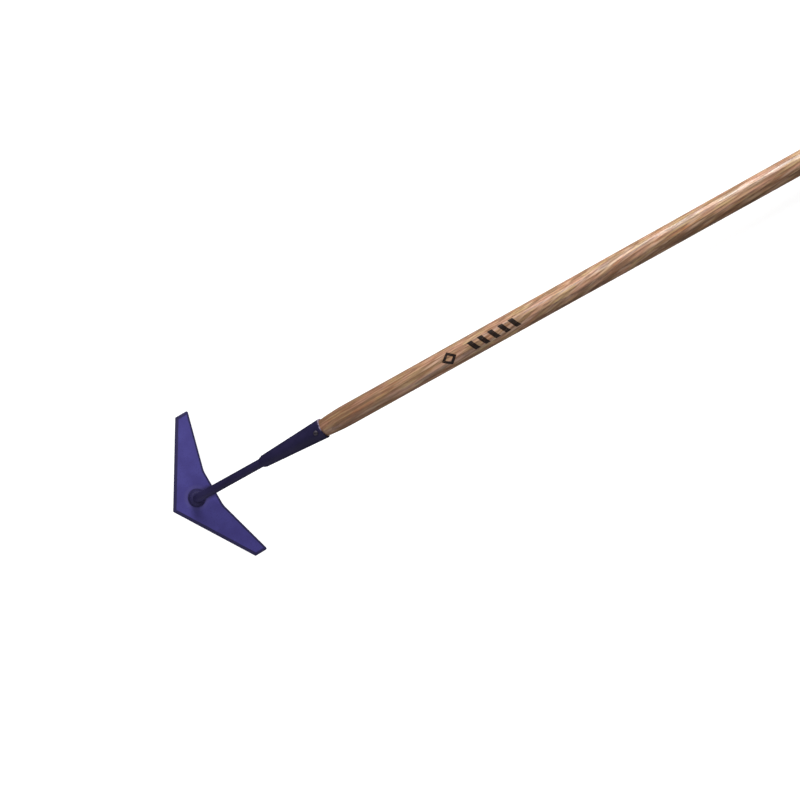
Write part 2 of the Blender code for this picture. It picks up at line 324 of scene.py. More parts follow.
# %% [markdown]
# ## Lamps
#
# The photograph's light comes from the top of the picture and lies up the handle: the handle's
# upper edge is bright and its lower edge dark, most so away from the head, and the blade's upper
# wing is paler than the lower one. Light falls off with the square of the distance, so a change
# that quick means a lamp that stands near. That is the top lamp, a globe, because a square lamp
# lights one side only and its limit would show on the floor. A small streak lamp, nearly square
# to the handle, gives the varnish its fine line of light. A low lamp before the head lifts the
# socket's end of the handle from below and only grazes the blade. The front lamp fills what is
# left, and the butt lamp lights the end that the photograph doesn't show. Each lamp was tried
# alone and the strengths were then worked out, since light from several lamps simply adds up.
# The low lamp was raised after that, for the handle's lower side, which was still too
# dark. Lamps are placed in the shaft frame, in metres.

# %% Lamps
def add_lamp(name, place, aim, size, watts):
    """A square lamp at a place in the shaft frame, facing a point in it."""
    start = shaft_frame @ Vector(place)
    facing = (shaft_frame @ Vector(aim)) - start
    bpy.ops.object.light_add(type="AREA", location=start)
    lamp = bpy.context.object
    lamp.name = name
    lamp.data.shape = "SQUARE"
    lamp.data.size = size
    lamp.data.energy = watts
    lamp.rotation_euler = facing.to_track_quat("-Z", "Y").to_euler()
    print(name, "stands", round(facing.length, 2), "m away")


bpy.ops.object.light_add(type="POINT", location=lamp_spot)
top_lamp = bpy.context.object
top_lamp.name = "top_lamp"
top_lamp.data.shadow_soft_size = 0.25
top_lamp.data.energy = 40
add_lamp("front_lamp", (-1.3, -0.6, 0.45), (0, 0, 0.3), 0.9, 1.1)
add_lamp("streak_lamp", (-1.15, 0.98, 0.3), (0, 0, 0.55), 0.3, 5.9)
add_lamp("low_lamp", (-0.5, -0.8, -0.4), (0, 0, 0.3), 1.2, 7.6)
add_lamp("butt_lamp", (-0.85, 0.7, 1.85), (0, 0, 1.3), 0.8, 6)

# %% [markdown]
# ## Varnished ash
#
# Ash is ring-porous: each year starts with a band of open pores, which shows brown, and goes on
# with dense pale wood. The handle is turned from a plank, so its surface cuts those rings. A
# picture wrapped round the handle would miss the end grain and stretch at the shoulder. Instead
# the rings are worked out in the solid: the distance to the tree's middle, well outside the
# handle and a little out of line with it, gives the ring, and noise makes it wander. Long lines
# on the sides, arched ones on top and curved ones on the butt then all come by themselves.

# %% Ash: the rings
HANDLE_RADIUS = 14
PITH_BELOW = 66
PITH_ASIDE = 9
SLOPE_DOWN = 0.012
SLOPE_ASIDE = 0.075
SWAY_DOWN = 22
SWAY_ASIDE = 16
RING_WIDTH = 3.4
RING_WANDER = 3.4
RING_RIPPLE = 0.7

ash_wood, ash_shader, wire = start_material("varnished_ash")
grain_place = position_in(wire, shaft_frame)
across_down, across_side, along = split(grain_place)
sway = noise(grain_place, (70, 70, 330), detail=1, seed=3)
wander = noise(grain_place, (16, 16, 150), detail=2, seed=11)
ripple = noise(grain_place, (3.5, 3.5, 60), detail=2, seed=7)
pith_down = across_down - PITH_BELOW + along * SLOPE_DOWN + (sway - 0.5) * SWAY_DOWN
pith_side = across_side - PITH_ASIDE - along * SLOPE_ASIDE + (sway - 0.5) * SWAY_ASIDE
distance = wire.maths("SQRT", pith_down * pith_down + pith_side * pith_side)
distance = distance + (wander - 0.5) * RING_WANDER + (ripple - 0.5) * RING_RIPPLE
year = wire.maths("FRACT", distance / RING_WIDTH)
early_wood = soft_step(year, 0.0, 0.12) * (1 - soft_step(year, 0.2, 0.75))
print("rings across the handle's thickness:", round(2 * HANDLE_RADIUS / RING_WIDTH, 1))

# %% [markdown]
# The pores are long, thin and dark, and stand mostly in the early wood. They are noise that is
# some twenty times longer along the handle than across it, cut off at a threshold. Slower noise
# changes the colour from one strip of wood to the next, towards pink, orange or straw, and pale
# flecks lie where the plank's rays come near the surface. The fibres don't run quite along the
# handle, so the noise for them is slanted by moving its place sideways with the distance along.
# A sine wave on top makes the slant swing, from almost straight near the socket to a clear
# slant past the print. Near the socket the wood is painted darker and browner, as painted
# shade, and a short dark line of painted shade lies in the corner against the socket's rim, on
# its lower side.

# %% Ash: pores and colour
FIBRE_SLANT = 0.12
SWING = 5.8
SWING_START = 300
SWING_LENGTH = 520
NEAR_SOCKET_START = 215
NEAR_SOCKET_END = 400
SOCKET_RIM = 199.5
RIM_SHADE_LENGTH = 3
STRAW_WOOD = rgb(176, 147, 105)
PINK_WOOD = rgb(182, 137, 112)
ORANGE_WOOD = rgb(169, 114, 76)
DARK_STRIP = rgb(118, 87, 62)
EARLY_BROWN = rgb(108, 77, 56)
FIBRE_BROWN = rgb(104, 75, 56)
FINE_FIBRE_BROWN = rgb(93, 67, 51)
PORE_BROWN = rgb(66, 45, 33)
PALE_FLECK = rgb(200, 166, 142)
SOCKET_END_SHADE = rgb(99, 68, 52)
RIM_SHADE = rgb(56, 42, 42)

swinging = wire.maths("SINE", (along - SWING_START) * (2 * pi / SWING_LENGTH)) * SWING
moved_side = across_side - along * FIBRE_SLANT + swinging
fibre_place = wire.node("CombineXYZ", inputs={0: across_down, 1: moved_side, 2: along})
pore_noise = noise(fibre_place, (0.42, 0.42, 10), detail=2, roughness=0.6, seed=23)
fibre_noise = noise(fibre_place, (2.2, 2.2, 40), detail=3, roughness=0.6, seed=31)
fine_fibre = noise(fibre_place, (0.3, 0.3, 7), detail=2, roughness=0.6, seed=37)
pores = soft_step(pore_noise, 0.54, 0.61) * (early_wood * 0.85 + 0.15)
strip_tone = noise(fibre_place, (4.6, 4.6, 52), detail=3, seed=41)
strip_warmth = noise(fibre_place, (6, 6, 30), detail=2, seed=53)
strip_orange = noise(fibre_place, (4, 4, 34), detail=2, seed=59)
fleck_noise = noise(fibre_place, (3.2, 3.2, 36), detail=2, seed=97)

wood = mix(soft_step(strip_warmth, 0.38, 0.62), STRAW_WOOD, PINK_WOOD)
wood = mix(soft_step(strip_orange, 0.52, 0.66) * 0.8, wood, ORANGE_WOOD)
wood = mix(soft_step(strip_tone, 0.42, 0.6) * 0.74, wood, DARK_STRIP)
wood = mix(early_wood * 0.6, wood, EARLY_BROWN)
wood = mix(soft_step(fibre_noise, 0.45, 0.7) * 0.45, wood, FIBRE_BROWN)
wood = mix(soft_step(fine_fibre, 0.42, 0.66) * 0.25, wood, FINE_FIBRE_BROWN)
wood = mix(pores * 0.7, wood, PORE_BROWN)
# Painted shade: towards the socket the wood is painted darker and browner, for the light that
# falls off towards the head.
near_socket = 1 - soft_step(along, NEAR_SOCKET_START, NEAR_SOCKET_END)
flecks = soft_step(fleck_noise, 0.52, 0.68) * (1 - near_socket)
wood = mix(flecks * 0.45, wood, PALE_FLECK)
wood = mix(near_socket * 0.48, wood, SOCKET_END_SHADE)
# Painted shade: a short dark line on the handle's lower side against the socket's rim, where the
# rim shades the wood.
rim_shade = 1 - soft_step(along, SOCKET_RIM, SOCKET_RIM + RIM_SHADE_LENGTH)
rim_shade = rim_shade * soft_step(across_side, 0, -6)
wood = mix(rim_shade * 0.75, wood, RIM_SHADE)
print("nodes so far:", len(ash_wood.node_tree.nodes))

# %% [markdown]
# A plain printed pattern stands on the handle's upper side. It is geometric on purpose, one
# hollow lozenge and a row of slanted bars, so that it reads as decoration and says nothing. The
# surface is unrolled for it: the angle round the handle times its radius is the distance round,
# and Z is the distance along. A pair of numbers says where a soft edge of the ink begins and
# where it ends. Ink sinks into the pores, so the print breaks up where the grain is open.

# %% Ash: the printed pattern
LOZENGE_PLACE = 396
LOZENGE_HALF_LENGTH = 11
LOZENGE_HALF_HEIGHT = 9.5
LOZENGE_INSIDE = (0.46, 0.52)
LOZENGE_OUTSIDE = (0.96, 1.02)
BARS_START = 428
BARS_LENGTH = 75
BAR_PITCH = 15
BAR_SHARE = 0.5
BAR_HALF_HEIGHT = 6.5
BAR_SLANT = 0.5
INK = rgb(20, 13, 12)

around = wire.maths("ARCTAN2", across_side, across_down * -1) * HANDLE_RADIUS
lozenge = abs(along - LOZENGE_PLACE) / LOZENGE_HALF_LENGTH + abs(around) / LOZENGE_HALF_HEIGHT
lozenge_ink = soft_step(lozenge, *LOZENGE_INSIDE) * (1 - soft_step(lozenge, *LOZENGE_OUTSIDE))
slanted = along - BARS_START + around * BAR_SLANT
bar = wire.maths("FRACT", slanted / BAR_PITCH)
bar_ink = soft_step(bar, 0.02, 0.05) * (1 - soft_step(bar, BAR_SHARE, BAR_SHARE + 0.03))
bar_ink = bar_ink * (1 - soft_step(abs(around), BAR_HALF_HEIGHT, BAR_HALF_HEIGHT + 0.4))
in_row = soft_step(slanted, 0, 0.3) * (1 - soft_step(slanted, BARS_LENGTH, BARS_LENGTH + 0.3))
ink = wire.maths("MAXIMUM", lozenge_ink, bar_ink * in_row)
ink = ink * (0.98 - soft_step(pore_noise, 0.6, 0.68) * 0.35)
wood = mix(ink, wood, INK)
print("bars in the row:", BARS_LENGTH // BAR_PITCH)

# %% [markdown]
# Wood under varnish has almost no gloss of its own: the gloss is that of the varnish, which is
# the shader's coat. The fibres show as fine ridges, and the wood is duller where it is open, so
# the roughness and the bump follow the same rings and pores as the colour. The wood has soaked
# the varnish up in slanted strips, so the coat's weight changes from strip to strip, which
# breaks the lamp's streak up into short satin flecks. The ink was printed over the varnish and
# is matt, and near the socket the varnish is worn.

# %% Ash: varnish
figure = noise(fibre_place, (3.0, 3.0, 32), detail=1, seed=67)
height = 1 - pores * 0.5 - early_wood * 0.1 - soft_step(fibre_noise, 0.4, 0.8) * 0.2
height = height + figure * 2.0 - fine_fibre * 0.12
coat = 0.4 + soft_step(figure, 0.42, 0.58) * 0.6
coat = coat * (1 - ink * 0.9) * (1 - near_socket * 0.5)
fill(ash_shader, {
    "Base Color": wood,
    "Roughness": 0.4 + early_wood * 0.1 + fibre_noise * 0.1 + ink * 0.1,
    "Specular IOR Level": 0.08,
    "Coat Weight": coat,
    "Coat Roughness": 0.32,
    "Normal": bump(height, 0.12, 0.6),
})
print("nodes in all:", len(ash_wood.node_tree.nodes))

# %% [markdown]
# ## Violet blue paint
#
# The blade is sprayed a violet blue: even, satin, with a fine ripple like an orange's peel.
# The ground bevels and cut edges are painted darker, as painted shade where they turn away from
# the light, so they show as dark lines. An edge mask from the mesh would need a bake. Here the
# distance to each of the blade's edges is worked out instead in the tool frame, where every edge
# is a straight line, and the smallest distances drive the painted edge shade. The tips' dark line
# is the broadest, so the distance from a tip counts for less than it is.

# %% Violet blue paint: distances to the edges
BLADE_WIDTH = 215
POINT_ANGLE = radians(116.5)
TIP_LENGTH = 19
MIDDLE_DEPTH = 63.4
MIDDLE_WIDTH = 52.4
FRONT_BEVEL = 4.2
TIP_SHARE = 0.7

wing_tip = Vector((BLADE_WIDTH / 2 / tan(POINT_ANGLE / 2), BLADE_WIDTH / 2))
rear_tip = wing_tip + Vector((TIP_LENGTH, 0))
wing_start = Vector((MIDDLE_DEPTH, MIDDLE_WIDTH / 2))


def side_of(start, end):
    """The direction square to a line, to the right of its way from start to end."""
    way = (end - start).normalized()
    return Vector((way.y, -way.x))


def distance_from(back, wing, point, direction):
    """How far a place lies past a line through a point, measured in a direction."""
    return back * direction.x + wing * direction.y - point.dot(direction)


violet_paint, violet_shader, wire = start_material("violet_blue_satin")
blade_place = position_in(wire, tool_frame)
back, side, up = split(blade_place)
wing = abs(side)
front_inward = side_of(Vector((0, 0)), wing_tip)
rear_inward = -side_of(wing_start, rear_tip)
from_front = distance_from(back, wing, wing_tip, front_inward)
from_wing_rear = distance_from(back, wing, rear_tip, rear_inward)
from_rear = wire.maths("MAXIMUM", MIDDLE_DEPTH - back, from_wing_rear)
from_rear_or_tip = wire.maths("MINIMUM", from_rear, (BLADE_WIDTH / 2 - wing) * TIP_SHARE)
print("the front edge's way in:", [round(part, 4) for part in front_inward])

# %% [markdown]
# Large soft noise gives the paint a slight unevenness. A narrow dark ring of painted shade lies
# round the neck's foot, where the weld shades the plate, and round that a ring of painted light
# is a shade paler. Behind the foot the painted shade goes on under the bar as a soft dark band,
# the bar's painted shadow, which drifts a little towards the lower wing. All this and the dark
# edges belong to the upper face, so they fade out by the height in the plate, and the sole only
# has a thin dark line of painted shade along its edges. The grinder left fine lines across the
# bevel, which show through the paint as bump. Each reach below is a pair of distances: a tone
# starts to fade at the first and is gone at the second.

# %% Violet blue paint: colour and bump
BAR_DRIFT = 0.075
REAR_SHADE_REACH = (2.5, 3.4)
SOLE_SHADE_REACH = (0.4, 1.1)
FOOT_SHADE_REACH = (11.8, 13.4)
LIT_RING_REACH = (14.5, 19)
BAR_SHADOW_REACH = (5.5, 11.5)
DEEP_VIOLET = rgb(60, 54, 118)
LIGHT_VIOLET = rgb(66, 61, 128)
VIOLET_SPECK = rgb(54, 48, 103)
LIT_RING_VIOLET = rgb(79, 74, 126)
PLATE_SHADE = rgb(34, 28, 62)
EDGE_SHADE = rgb(32, 27, 62)
GROUND_SHADE = rgb(32, 27, 64)

cloud = noise(blade_place, (26, 26, 26), detail=3, seed=5)
speck = noise(blade_place, (2.2, 2.2, 2.2), detail=2, seed=17)
unevenness = (noise(blade_place, (7, 7, 7), detail=2, seed=29) - 0.5) * 0.8
above_sole = soft_step(up, 0.1 - BLADE_THICKNESS, 0.4 - BLADE_THICKNESS)
upper_face = soft_step(up, -0.6, -0.2)
# Painted shade: the ground bevel and the cut edges are painted darker, as dark lines where they
# turn away from the light.
ground = 1 - soft_step(from_front + unevenness * 0.4, FRONT_BEVEL - 0.5, FRONT_BEVEL + 0.3)
ground = ground * above_sole
rear_shade = 1 - soft_step(from_rear_or_tip + unevenness * 0.7, *REAR_SHADE_REACH)
from_any_edge = wire.maths("MINIMUM", from_front, from_rear_or_tip)
sole_shade = 1 - soft_step(from_any_edge + unevenness, *SOLE_SHADE_REACH)
edge_shade = wire.maths("MAXIMUM", rear_shade * above_sole, sole_shade)
# Painted shade round the neck's foot, a paler ring of painted light round that, and the bar's
# painted shadow on the plate behind the foot.
from_neck_back = back - NECK_PLACE
from_neck = wire.maths("SQRT", from_neck_back * from_neck_back + side * side)
foot_shade = (1 - soft_step(from_neck + unevenness, *FOOT_SHADE_REACH)) * upper_face
lit_ring = (1 - soft_step(from_neck + unevenness * 2, *LIT_RING_REACH)) * upper_face
from_bar = abs(side + from_neck_back * BAR_DRIFT)
bar_shadow = (1 - soft_step(from_bar + unevenness, *BAR_SHADOW_REACH)) * upper_face
bar_shadow = bar_shadow * soft_step(from_neck_back, 0, 6)

violet = mix(soft_step(cloud, 0.3, 0.7), DEEP_VIOLET, LIGHT_VIOLET)
violet = mix(soft_step(speck, 0.48, 0.75) * 0.45, violet, VIOLET_SPECK)
violet = mix(lit_ring * 0.4, violet, LIT_RING_VIOLET)
violet = mix(bar_shadow * 0.75, violet, PLATE_SHADE)
violet = mix(foot_shade * 0.8, violet, PLATE_SHADE)
violet = mix(edge_shade * 0.85, violet, EDGE_SHADE)
violet = mix(ground * 0.92, violet, GROUND_SHADE)

along_front = wing * front_inward.x - back * front_inward.y
scratch_place = wire.node("CombineXYZ", inputs={0: along_front, 1: from_front, 2: up})
scratches = noise(scratch_place, (0.35, 9, 9), detail=2, seed=61)
peel = noise(blade_place, (1.6, 1.6, 1.6), detail=1, seed=71)

fill(violet_shader, {
    "Base Color": violet,
    "Roughness": 0.42 + cloud * 0.12 + ground * 0.06,
    "Specular IOR Level": 0.2,
    "Normal": bump(peel * 0.5 + scratches * ground * 0.8, 0.05, 0.5),
})
print("nodes in the violet paint:", len(violet_paint.node_tree.nodes))

# %% [markdown]
# ## Dark navy paint
#
# The navy paint, almost black, covers the bar, both welds and the socket. On the end of the
# socket's sheet, where the handle goes in, a grey lilac is painted in patches on one side, as a
# painted glint where the sheet's edge catches the light. That end is found by its place along
# the shaft. The foot weld and the bar's foot are painted a little paler, as painted light that
# lifts their shade near the blade.

# %% Dark navy paint
FOOT_LIGHT_REACH = (-12, 32)
DEEP_NAVY = rgb(27, 24, 51)
LIGHT_NAVY = rgb(33, 29, 59)
NAVY_SPECK = rgb(38, 33, 65)
FOOT_LIGHT_NAVY = rgb(51, 46, 86)
RIM_GLINT_LILAC = rgb(138, 124, 142)

navy_paint, navy_shader, wire = start_material("dark_navy_satin")
navy_place = position_in(wire, shaft_frame)
_, navy_side, navy_along = split(navy_place)
cloud = noise(navy_place, (14, 14, 22), detail=3, seed=9)
speck = noise(navy_place, (1.8, 1.8, 1.8), detail=2, seed=19)
glint_patches = noise(navy_place, (5, 5, 5), detail=3, roughness=0.6, seed=37)
# A painted glint: the upper side of the socket's end is painted grey lilac in patches, where its
# edge catches the light.
rim_glint = soft_step(navy_along, SOCKET_RIM - 1.5, SOCKET_RIM - 0.5)
rim_glint = rim_glint * soft_step(glint_patches, 0.38, 0.52) * soft_step(navy_side, -3, 4)
navy = mix(soft_step(cloud, 0.35, 0.65), DEEP_NAVY, LIGHT_NAVY)
navy = mix(soft_step(speck, 0.55, 0.8) * 0.35, navy, NAVY_SPECK)
# Painted light: near the blade, the bar's foot and the foot weld are painted paler to lift their
# shade.
foot_light = 1 - soft_step(navy_along, *FOOT_LIGHT_REACH)
navy = mix(foot_light * 0.6, navy, FOOT_LIGHT_NAVY)
navy = mix(rim_glint, navy, RIM_GLINT_LILAC)
peel = noise(navy_place, (1.4, 1.4, 1.4), detail=1, seed=73)

fill(navy_shader, {
    "Base Color": navy,
    "Roughness": 0.5 + cloud * 0.14 + rim_glint * 0.1,
    "Specular IOR Level": 0.09,
    "Normal": bump(peel, 0.05, 0.5),
})
print("nodes in the navy paint:", len(navy_paint.node_tree.nodes))

# %% [markdown]
# ## Dull zinc
#
# The screw is zinc plated and has gone dull. It is a metal, so its colour is the colour of what
# it mirrors, darkened by its own grey. Small changes of roughness show where it was handled.

# %% Dull zinc
DARK_ZINC = rgb(58, 54, 64)
LIGHT_ZINC = rgb(84, 79, 88)

zinc, zinc_shader, wire = start_material("dull_zinc")
zinc_place = position_in(wire, shaft_frame)
cloud = noise(zinc_place, (1.6, 1.6, 1.6), detail=3, seed=83)
grit = noise(zinc_place, (0.5, 0.5, 0.5), seed=89)
fill(zinc_shader, {
    "Base Color": mix(cloud, DARK_ZINC, LIGHT_ZINC),
    "Roughness": 0.55 + cloud * 0.2,
    "Metallic": 1,
    "Normal": bump(grit, 0.03, 0.4),
})

finishes = {
    "ash_wood": ash_wood,
    "violet_blue_paint": violet_paint,
    "dark_navy_paint": navy_paint,
    "screw_steel": zinc,
}
print("finishes:", sorted(finishes))

# %% [markdown]
# ## Drawing and turning
#
# Every piece is drawn at the world's origin, one Blender unit for a millimetre, and is then
# seated in its frame and scaled down in one go. Most of the pieces are round, so they start as
# a lathe would have them: half a section, drawn with a pen. The pen is a plane merged to a
# single point, which is extruded from each corner of the section to the next. Spin then turns
# the line round Z. Rounded ends share one quarter turn, taken in twelve steps.

# %% Helpers for drawing
SAME_PLACE = 0.002
QUARTER_TURN = [pi / 2 * step / 12 for step in range(13)]


def deselect_all():
    bpy.ops.object.select_all(action="DESELECT")


def choose(piece):
    """Make one object the only selected one, and the active one."""
    deselect_all()
    piece.select_set(True)
    bpy.context.view_layer.objects.active = piece


def start_edit(piece):
    choose(piece)
    bpy.ops.object.mode_set(mode="EDIT")


def end_edit():
    bpy.ops.object.mode_set(mode="OBJECT")


def pick_all():
    bpy.ops.mesh.select_all(action="SELECT")


def pick(piece, kind, test):
    """In edit mode, select the corners, edges or faces that pass a test."""
    bpy.ops.mesh.select_mode(type=kind)
    bpy.ops.mesh.select_all(action="DESELECT")
    shape = bmesh.from_edit_mesh(piece.data)
    group = {"VERT": shape.verts, "EDGE": shape.edges, "FACE": shape.faces}[kind]
    chosen = [part for part in group if test(part)]
    for part in chosen:
        part.select_set(True)
    bmesh.update_edit_mesh(piece.data)
    return len(chosen)


def extrude(step):
    bpy.ops.mesh.extrude_region_move(TRANSFORM_OT_translate={"value": step})


def turn_picked(angle, axis="Z"):
    bpy.ops.transform.rotate(value=angle, orient_axis=axis, center_override=(0, 0, 0))


def draw_line(name, points):
    """A line through points, drawn by extruding one corner, and left in edit mode."""
    deselect_all()
    bpy.ops.mesh.primitive_plane_add(size=1, location=(0, 0, 0))
    piece = bpy.context.object
    piece.name = name
    piece.data.name = name
    start_edit(piece)
    bpy.ops.mesh.select_mode(type="VERT")
    pick_all()
    bpy.ops.mesh.merge(type="CENTER")
    bpy.ops.transform.translate(value=points[0])
    for before, after in zip(points, points[1:]):
        extrude(tuple(b - a for a, b in zip(before, after)))
    pick_all()
    bpy.ops.mesh.remove_doubles(threshold=SAME_PLACE)
    return piece


def tidy_mesh():
    """In edit mode, merge doubles and turn every face outwards."""
    pick_all()
    bpy.ops.mesh.remove_doubles(threshold=SAME_PLACE)
    bpy.ops.mesh.normals_make_consistent(inside=False)


def turn_profile(name, section, steps):
    """Spin a section of (radius, height) points once round Z, and leave it in edit mode."""
    piece = draw_line(name, [(radius, 0, height) for radius, height in section])
    bpy.ops.mesh.spin(steps=steps, angle=-2 * pi, center=(0, 0, 0), axis=(0, 0, 1))
    tidy_mesh()
    return piece


# %% [markdown]
# A modifier is added and applied in one step, so that a finished piece is a plain mesh. Shading
# comes before seating: it is smooth, with sharp edges where two faces meet steeply, and at each
# corner the larger faces weigh more in the normal, which keeps flat faces flat. Seating
# multiplies the piece's matrix by its frame and applies it, which leaves the object itself at
# the origin, unturned. The last helper gives a piece its finish, hides the solid that it stands
# for and hangs it from the root body. It also counts edges that don't have two faces, of which a
# closed skin has none, and measures how far the piece reaches past its solid.

# %% Helpers for finishing a piece
def apply_modifier(piece, kind, **settings):
    choose(piece)
    modifier = piece.modifiers.new(kind.title(), kind)
    for setting, value in settings.items():
        setattr(modifier, setting, value)
    bpy.ops.object.modifier_apply(modifier=modifier.name)


def cut_away(piece, cutter):
    """Take one shape out of another, and remove the cutter."""
    apply_modifier(piece, "BOOLEAN", operation="DIFFERENCE", solver="EXACT", object=cutter)
    bpy.data.objects.remove(cutter)


def open_edges(piece):
    """How many edges don't have exactly two faces."""
    shape = bmesh.new()
    shape.from_mesh(piece.data)
    count = sum(len(edge.link_faces) != 2 for edge in shape.edges)
    shape.free()
    return count


def seat(piece, place):
    """Put a piece that was drawn in millimetres into its frame, in metres."""
    piece.matrix_world = place @ Matrix.Scale(MM, 4) @ piece.matrix_world
    choose(piece)
    bpy.ops.object.transform_apply(location=True, rotation=True, scale=True)


def shade(piece):
    """Smooth shading with sharp edges over 35 degrees, led by the larger faces."""
    choose(piece)
    bpy.ops.object.shade_smooth_by_angle(angle=radians(35))
    apply_modifier(piece, "WEIGHTED_NORMAL", keep_sharp=True)


def finish_piece(piece, node, slot):
    """The finish, hiding the solid that the piece stands for, and a report on it."""
    piece.data.materials.clear()
    piece.data.materials.append(finishes[slot])
    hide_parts(node)
    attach(piece, "root")
    low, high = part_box(node)
    past = max(max(*(corner.co - high), *(low - corner.co)) for corner in piece.data.vertices)
    faces = len(piece.data.polygons)
    print(piece.name, "has", faces, "faces and", open_edges(piece), "open edges,")
    print("   at most", round(past / MM, 2), "mm past its solid's box")


# %% [markdown]
# ## The handle
#
# A long handle is turned and sanded: a cylinder of 28 mm with a cone at one end for the socket
# and a rounded butt at the other. No sander leaves it quite even, and slow waves, a tenth of a
# millimetre deep, make the light on the varnish waver. So the section gets a point every 12 mm,
# each drawn in by the sum of three waves that don't fall in step. The cone has a few points of
# its own, one of them at the screw, and keeps a fit of a tenth of a millimetre to the socket's
# bore.

# %% Handle: the section
FIT = 0.1
SOCKET_START = 104.5
SOCKET_BORE_SMALL = 6.3
SOCKET_BORE_RIM = 11.8
HANDLE_START = 130.5
HANDLE_END = 1630.5
SHOULDER_LENGTH = 40
SHOULDER_STEPS = 16
BUTT_ROUND = 8
TENON_CHAMFER = 1.5
SCREW_PLACE = 191.3
SECTION_STEP = 12
WAVES = ((17, 0), (28.3, 1), (45.1, 2))
WAVE_DEPTH = 0.02
WAVE_FADE = 60

taper = (SOCKET_BORE_RIM - SOCKET_BORE_SMALL) / (SOCKET_RIM - SOCKET_START)


def bore_radius(place):
    """The socket's bore at a distance along the shaft."""
    return SOCKET_BORE_SMALL + (place - SOCKET_START) * taper


def sanded_radius(place):
    """A true 14 mm at both ends, and up to 0.12 mm under it between them."""
    wave = sum(sin(place / length + shift) for length, shift in WAVES)
    from_ends = min(place - SOCKET_RIM - SHOULDER_LENGTH, HANDLE_END - BUTT_ROUND - place)
    return HANDLE_RADIUS - WAVE_DEPTH * (len(WAVES) + wave) * min(1, from_ends / WAVE_FADE)


tip_radius = bore_radius(HANDLE_START) - FIT
section = [(0, HANDLE_START), (tip_radius - TENON_CHAMFER, HANDLE_START)]
section.append((tip_radius, HANDLE_START + TENON_CHAMFER))
tenon_places = (145, 160, 175, 186, SCREW_PLACE, 196, SOCKET_RIM)
section += [(bore_radius(place) - FIT, place) for place in tenon_places]
shoulder_fall = HANDLE_RADIUS - section[-1][0]
for step in range(1, SHOULDER_STEPS + 1):
    place = SOCKET_RIM + SHOULDER_LENGTH * step / SHOULDER_STEPS
    fall = shoulder_fall * (1 - step / SHOULDER_STEPS) ** 2
    section.append((HANDLE_RADIUS - fall, place))
straight = int((HANDLE_END - BUTT_ROUND - SOCKET_RIM - SHOULDER_LENGTH) / SECTION_STEP)
for step in range(1, straight):
    place = SOCKET_RIM + SHOULDER_LENGTH + SECTION_STEP * step
    section.append((sanded_radius(place), place))
for turn in QUARTER_TURN:
    radius = HANDLE_RADIUS - BUTT_ROUND + BUTT_ROUND * cos(turn)
    section.append((radius, HANDLE_END - BUTT_ROUND + BUTT_ROUND * sin(turn)))
section.append((0, HANDLE_END))
print("points in the handle's section:", len(section))

# %% [markdown]
# The screw goes through the socket into the wood, so both need the same hole. The drill is a
# cylinder laid across the shaft on its upper side, a little wider and deeper than the shank.
# Each of the two pieces is cut with a drill of its own.

# %% Handle: turning, drilling and seating
SCREW_SEAT = 13.55
SCREW_LENGTH = 20
SCREW_SHANK = 1.75
DRILL_OUTSIDE = 2
DRILL_DEEPER = 0.3
DRILL_WIDER = 0.15
HANDLE_STEPS = 96


def add_drill():
    """A cylinder across the shaft's upper side, where the screw goes."""
    outer = SCREW_SEAT + DRILL_OUTSIDE
    inner = SCREW_SEAT - SCREW_LENGTH - DRILL_DEEPER
    deselect_all()
    bpy.ops.mesh.primitive_cylinder_add(
        vertices=48, radius=SCREW_SHANK + DRILL_WIDER, depth=outer - inner,
        location=(-(outer + inner) / 2, 0, SCREW_PLACE), rotation=(0, -pi / 2, 0),
    )
    return bpy.context.object


handle = turn_profile("ash_handle", section, HANDLE_STEPS)
end_edit()
cut_away(handle, add_drill())
shade(handle)
seat(handle, shaft_frame)
finish_piece(handle, "handle", "ash_wood")

# %% [markdown]
# ## The socket
#
# The socket is cut from 2 mm sheet and rolled into a cone, and its long seam stays open on the
# underside. In Blender that is the bore's line spun through a little less than a full turn and
# then given a wall outwards with Solidify. The line has more points round the screw, so that
# the hole changes only small faces there.

# %% Socket: rolling the sheet
SOCKET_WALL = 2
SEAM_ANGLE = radians(6)
SOCKET_STEPS = 118
EDGE_ROUND = 0.35

places = [SOCKET_START, 116, 128, 140, 152, 164, 176, 184, 188, 190]
places += [SCREW_PLACE, 192.6, 194.6, 197, SOCKET_RIM]
seam_side = -SEAM_ANGLE / 2
line = []
for place in places:
    radius = bore_radius(place)
    line.append((radius * cos(seam_side), radius * sin(seam_side), place))
socket = draw_line("rolled_socket", line)
bpy.ops.mesh.spin(
    steps=SOCKET_STEPS, angle=2 * pi - SEAM_ANGLE, center=(0, 0, 0), axis=(0, 0, 1),
)
tidy_mesh()
shape = bmesh.from_edit_mesh(socket.data)
middles = [(face.normal, face.calc_center_median()) for face in shape.faces]
outward = sum(normal.x * middle.x + normal.y * middle.y for normal, middle in middles)
if outward < 0:
    bpy.ops.mesh.flip_normals()
end_edit()
print("the sheet's faces point", "outwards" if outward > 0 else "inwards, so they were turned")

# %% [markdown]
# The wall goes on after the normals are right, because Solidify follows them. Bevel rounds the
# cut edges of the sheet, and the drilling comes last, so that its edge stays crisp under the
# screw's head.

# %% Socket: wall, edges and hole
apply_modifier(socket, "SOLIDIFY", thickness=SOCKET_WALL, offset=1, use_even_offset=True)
apply_modifier(
    socket, "BEVEL", width=EDGE_ROUND, segments=3, limit_method="ANGLE", angle_limit=radians(40),
)
cut_away(socket, add_drill())
shade(socket)
seat(socket, shaft_frame)
finish_piece(socket, "socket", "dark_navy_paint")

# %% [markdown]
# ## The neck
#
# The neck is a 12 mm bar, bent hot round a former. A curve with a bevel would do, but here the
# bar's end is moved as the smith moves it: a disc is extruded straight up, spun through the
# bend about the former's middle, and extruded on into the socket, where its rim is broken with
# a small bevel. The foot starts a hair inside the plate, so that no gap shows.

# %% Neck
NECK_RADIUS = 6
NECK_BEND = 20
BEND_STEPS = 24
NECK_END = 126.5
NECK_RUNS = 6
NECK_CHAMFER = 0.8
SUNK = 0.05

